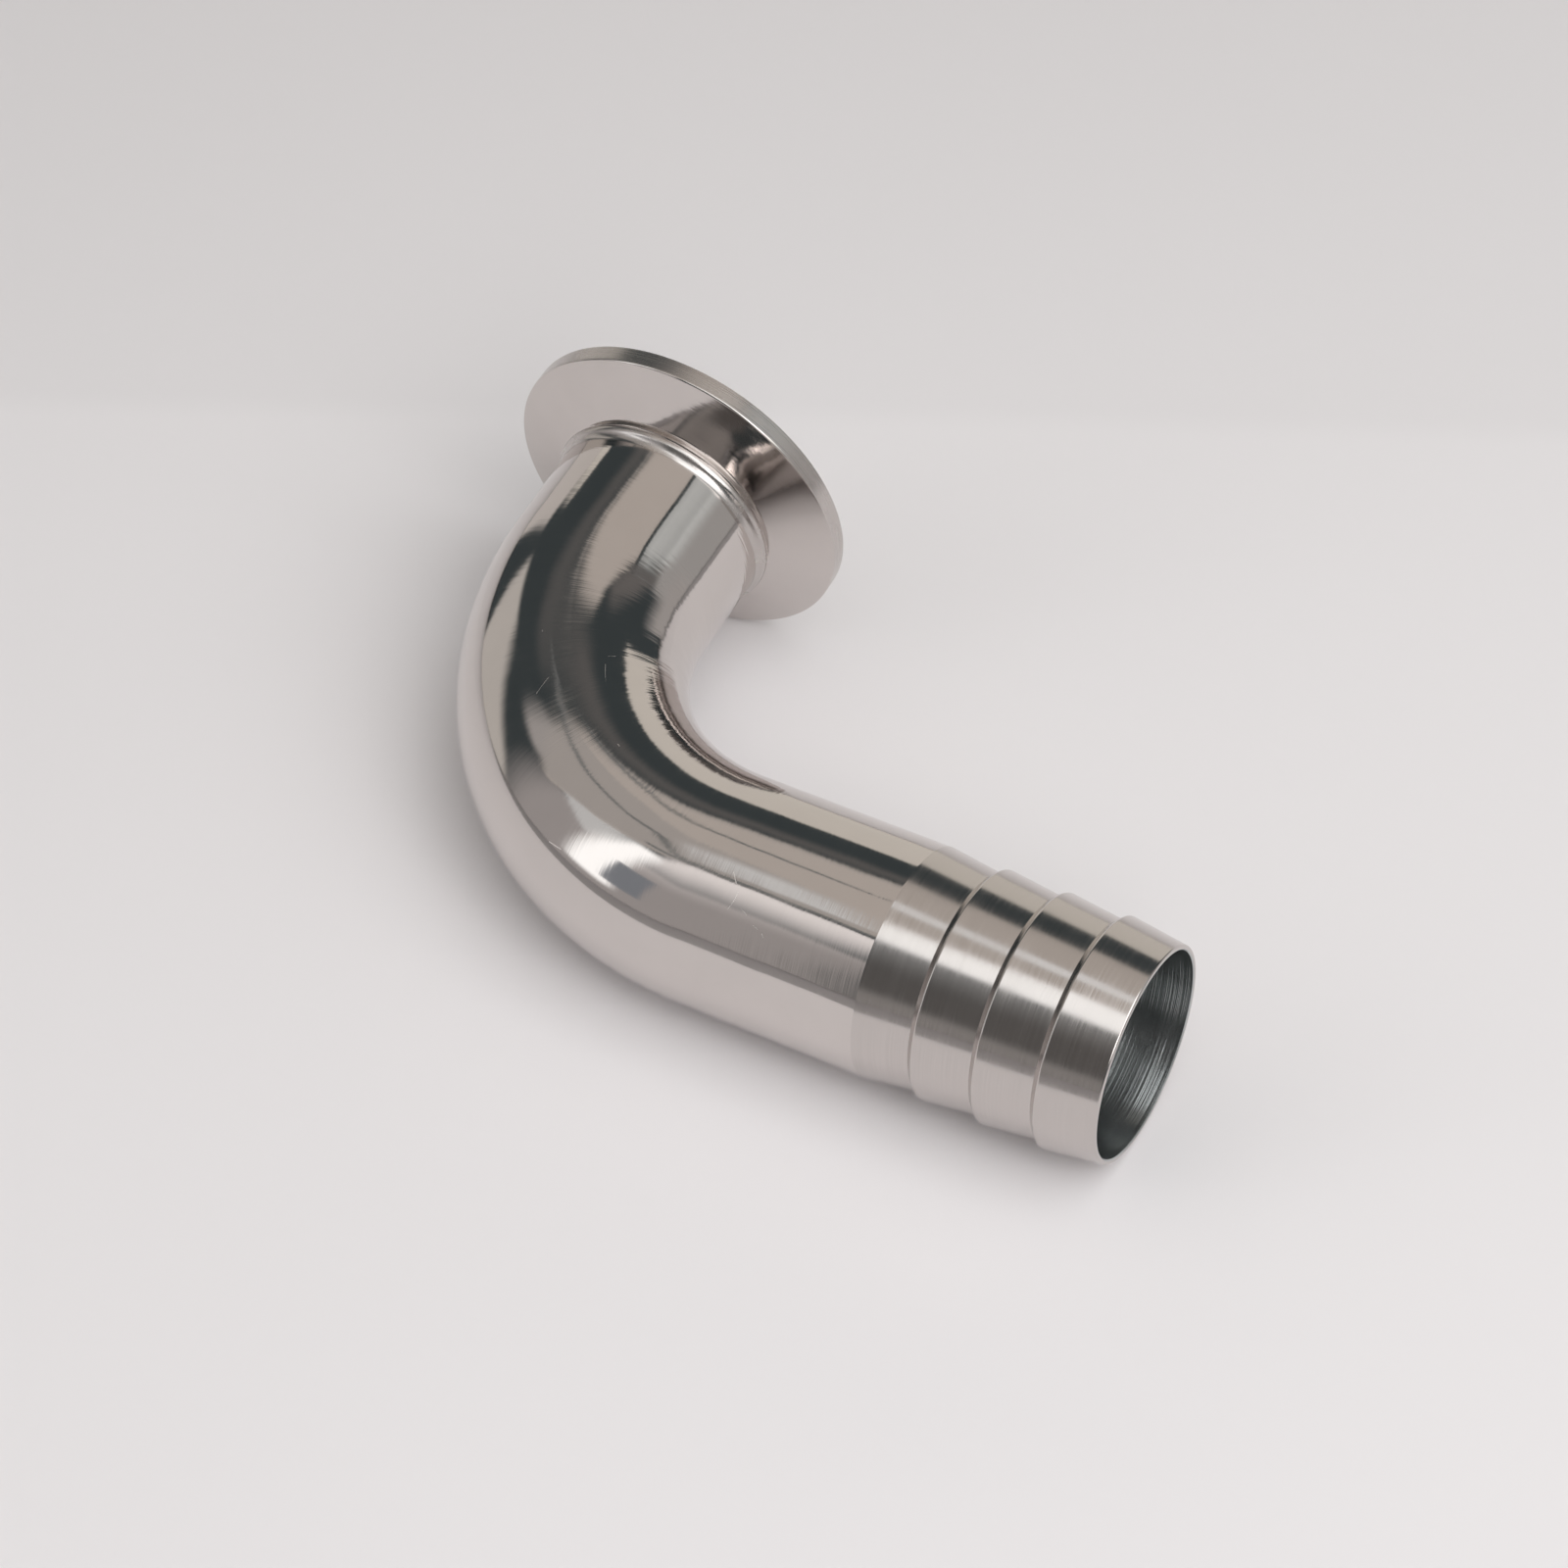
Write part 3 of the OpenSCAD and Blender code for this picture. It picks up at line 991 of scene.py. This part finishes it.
class FITTING_OT_studio(bpy.types.Operator):
    """Pale paper, soft lights, cards and the camera"""

    bl_idname = "fitting.studio"
    bl_label = "Studio"

    def execute(self, context):
        studio = context.scene.fitting_studio
        self.lay_paper(studio)
        self.hang_overhead_panels()
        self.hang_softboxes()
        self.stand_cards()
        self.set_world(context.scene, studio)
        self.set_camera(context.scene, studio)
        context.scene.view_settings.view_transform = "Standard"
        return {"FINISHED"}

    def lay_paper(self, studio):
        """The paper under the fitting, and the dim table beyond its edges."""
        deselect_all()
        bpy.ops.mesh.primitive_plane_add(size=1)
        paper = bpy.context.active_object
        paper.name = "paper"
        paper.location = PAPER_MIDDLE
        paper.scale = PAPER_SIZE
        bpy.ops.object.transform_apply(location=True, rotation=True, scale=True)
        material, graph = new_material("paper")
        cloud = graph.noise(graph.object_point(), (3, 3, 3), 3.0)
        fold = graph.along(graph.object_point(), FOLD_DIRECTION) - FOLD_PLACE
        far = (fold + cloud * 0.01).ramp(0, 8 * MM)
        base = graph.mix(cloud + 0.5, rgba(shade(studio.paper, 0.985)), rgba(shade(studio.paper, 1.01)))
        base = graph.mix(far * 0.5, base, rgba(shade(studio.paper, 0.93)))
        sheet = graph.node("ShaderNodeBsdfDiffuse", None, {"Color": base})
        graph.node("ShaderNodeOutputMaterial", None, {"Surface": sheet.outputs[0]})
        paper.data.materials.append(material)
        deselect_all()
        bpy.ops.mesh.primitive_plane_add(size=TABLE_SIZE, location=(0, 0, -TABLE_DROP))
        table = bpy.context.active_object
        table.name = "table"
        material, graph = new_material("table")
        path = graph.node("ShaderNodeLightPath")
        pale = graph.node("ShaderNodeBsdfDiffuse", None, {"Color": rgba(studio.paper)})
        dim = graph.node("ShaderNodeBsdfDiffuse", None, {"Color": rgba(shade(studio.paper, 0.45))})
        sockets = {0: path.outputs["Is Camera Ray"], 1: dim.outputs[0], 2: pale.outputs[0]}
        surface = graph.node("ShaderNodeMixShader", None, sockets)
        graph.node("ShaderNodeOutputMaterial", None, {"Surface": surface.outputs[0]})
        table.data.materials.append(material)

    def hang_overhead_panels(self):
        """The broad panels overhead, the cords under them, and a haze beyond their edges."""
        overhead = plan((0.515, -0.6), (0.515, 0.76), (-0.04, 0.76), (-1.6, -0.55), (-1.6, -0.6))
        panel("overhead_diffuser", overhead, 0.57, TAN, 1.0, (0.03, 0.08, 0.1, 0.08, 0.05))
        overhead_left = plan((-0.3, -0.6), (-0.3, 0.56), (-1.6, -0.54), (-1.6, -0.6))
        panel("overhead_left", overhead_left, 0.47, (1, 0.95, 0.9), 0.97, (0.05, 0.07, 0.1, 0.05))
        glow = plan((-0.3, -0.5), (-0.3, -0.16), (-0.43, -0.16), (-0.43, -0.5))
        panel("front_glow", glow, 0.78, COOL, 0.96, (0.04, 0.12, 0.05, 0.04))
        self.hang_cord("overhead_cord", CORD, 0.045)
        self.hang_cord("overhead_short_cord", SHORT_CORD, 0.032)
        self.hang_cord("overhead_edge_cord", EDGE_CORD, 0.045)
        haze = plan((-0.1, 0.55), (0, 0.95), (-0.25, 0.95), (-1.05, 0.4), (-0.9, 0.1))
        panel("overhead_haze", haze, 0.16, WARM, 1.02, 0.18)
        far_left = plan(
            (-0.6, 0.12), (-0.85, 0.16), (-1.6, -0.02), (-1.75, -0.35), (-1.5, -0.55), (-0.7, -0.3)
        )
        panel("overhead_far_left", far_left, 0.44, WARM, 1.01, 0.12)
        haze = plan((0.1, 0.62), (0.5, 0.6), (1.5, 1.2), (1.6, 1.9), (0.9, 1.6), (0.1, 0.95))
        panel("window_haze", haze, 0.17, WARM, 1.02, 0.15)

    def hang_softboxes(self):
        """The bright softboxes, which make the highlights."""
        key = plan((-0.2, -0.68), (1.9, -0.68), (1.9, -0.16), (-0.2, -0.16))
        panel("key_softbox", key, 1.5, COOL, 0.93, 0.1)
        skirt = plan((-0.25, -1.5), (1.9, -1.5), (1.9, -0.5), (-0.25, -0.5))
        panel("key_skirt", skirt, 0.39, COOL, 1.1, (0.75, 0.1, 0.05, 0.1))
        spot = plan((-0.12, -0.03), (0.12, -0.03), (0.12, 0.14), (-0.12, 0.14))
        panel("zenith_spot", spot, 1.0, COOL, 0.89, 0.04)
        zenith = plan((0.06, -0.6), (2.2, -0.6), (2.2, 0.38), (0.06, 0.34))
        panel("zenith_softbox", zenith, 2.1, COOL, 0.9, 0.14)
        card("window_softbox", -38, 40, 50, 40, 4.5, (1, 0.99, 0.98), 1.2, 0.2)
        card("strip_top", -120, 39.5, 27, 29, 1.05, (1, 0.97, 0.96), 1.0, (0.5, 0.1, 0.03, 0.1))
        card("strip_softbox", -133, 27, 18, 48, 1.6, COOL, 0.95, 0.09)

    def stand_cards(self):
        """Pale cards round the fitting, where the steel shows them."""
        card("camera_side", -82, 32, 46, 50, 0.13, WARM, 1.5, 0.3)
        card("front_low_card", -90, 3, 40, 26, 0.32, WARM, 1.3, 0.2)
        card("back_card", 114, 12.5, 73, 32, 0.72, (1, 0.955, 0.87), 1.3, 0.06)
        card("back_card_right", 52, 9, 34, 28, 0.44, WARM, 1.3, (0.08, 0.08, 0.4, 0.08))
        left = compass((200, -2), (196, 12), (168, 35), (156, 26), (168, -2))
        panel("left_card", left, 0.6, (1, 0.96, 0.9), 1.3, (0.12, 0.16, 0.1, 0.06, 0.06))
        card("left_low_card", 148, 9.5, 13, 27, 0.62, (1, 0.95, 0.9), 1.3, (0.06, 0.05, 0.1, 0.05))
        glow = compass((-157, 36), (-140, 26), (-136, 40), (-140, 52), (-156, 52))
        panel("strip_glow", glow, 0.7, COOL, 1.25, 0.07)
        card("blue_gap", -124, 19, 13, 21, 0.31, (0.83, 0.9, 1), 0.93, 0.03)
        card("front_left_card", -137, 8, 62, 54, 0.42, (1, 0.95, 0.935), 1.3, (0.1, 0.1, 0.12, 0.4))
        window = plan((0.54, 0.3), (2.6, 0.3), (2.6, 1.8), (1.3, 1.35), (0.54, 0.86))
        panel("right_window", window, 0.6, (0.96, 1, 0.985), 1.0, (0.1, 0.3, 0.15, 0.16, 0.025), 0.22)
        card("right_card", 14, 12, 80, 44, 0.42, (1, 0.985, 0.96), 1.4, (0.1, 0.2, 0.4, 0.1))

    def hang_cord(self, name, points, width):
        """A dark cord under the overhead panels, along points of the ceiling's plan."""
        for number, (start, end) in enumerate(zip(points, points[1:])):
            start, end = Vector(start), Vector(end)
            side = Vector((start.y - end.y, end.x - start.x)).normalized() * width / 2
            corners = plan(start - side, end - side, end + side, start + side)
            panel(f"{name}_{number}", corners, level=0.2, colour=(0.95, 1, 1), distance=0.95, soft=0.006)

    def set_world(self, scene, studio):
        """The room: dim for the steel, pale for the camera."""
        world = bpy.data.worlds.new("room")
        world.use_nodes = True
        scene.world = world
        graph = Graph(world.node_tree)
        path = graph.node("ShaderNodeLightPath")
        colour = graph.mix(path.outputs["Is Camera Ray"], rgba(studio.room), rgba(studio.backdrop))
        background = graph.node("ShaderNodeBackground", None, {"Color": colour, "Strength": 1.0})
        graph.node("ShaderNodeOutputWorld", None, {"Surface": background.outputs[0]})

    def set_camera(self, scene, studio):
        """The camera, as in the photograph."""
        lens = bpy.data.cameras.new("camera")
        camera = bpy.data.objects.new("camera", lens)
        scene.collection.objects.link(camera)
        place = Vector(studio.camera_place)
        aim = Vector(studio.camera_aim) - place
        turned = aim.to_track_quat("-Z", "Y").to_matrix().to_4x4()
        roll = Matrix.Rotation(studio.camera_roll, 4, "Z")
        camera.matrix_world = Matrix.Translation(place) @ turned @ roll
        lens.sensor_width = 36
        lens.lens = studio.camera_lens
        lens.clip_start = 0.01
        lens.clip_end = 50
        scene.camera = camera


class FITTING_PT_panel(bpy.types.Panel):
    """Sidebar panel with the fitting's pieces"""

    bl_idname = "FITTING_PT_panel"
    bl_label = "Stainless Hose Fitting"
    bl_space_type = "VIEW_3D"
    bl_region_type = "UI"
    bl_category = "Fitting"

    def draw(self, context):
        for operator in PIECES:
            self.layout.operator(operator.bl_idname)
        scene = context.scene
        for group in (scene.fitting_sizes, scene.fitting_finish, scene.fitting_studio):
            box = self.layout.box()
            for name in group.__annotations__:
                box.prop(group, name)


GROUPS = (FittingSizes, SteelFinish, StudioSettings)
PIECES = (
    FITTING_OT_clamp_ferrule,
    FITTING_OT_ferrule_weld,
    FITTING_OT_elbow_tube,
    FITTING_OT_barb_weld,
    FITTING_OT_hose_barb,
    FITTING_OT_studio,
)


def register():
    for each in (*GROUPS, *PIECES, FITTING_PT_panel):
        bpy.utils.register_class(each)
    bpy.types.Scene.fitting_sizes = PointerProperty(type=FittingSizes)
    bpy.types.Scene.fitting_finish = PointerProperty(type=SteelFinish)
    bpy.types.Scene.fitting_studio = PointerProperty(type=StudioSettings)


def unregister():
    del bpy.types.Scene.fitting_studio
    del bpy.types.Scene.fitting_finish
    del bpy.types.Scene.fitting_sizes
    for each in (FITTING_PT_panel, *reversed(PIECES), *reversed(GROUPS)):
        bpy.utils.unregister_class(each)


def main():
    register()
    bpy.ops.fitting.clamp_ferrule()
    bpy.ops.fitting.ferrule_weld()
    bpy.ops.fitting.elbow_tube()
    bpy.ops.fitting.barb_weld()
    bpy.ops.fitting.hose_barb()
    bpy.ops.fitting.studio()
    deselect_all()


if __name__ == "__main__":
    main()
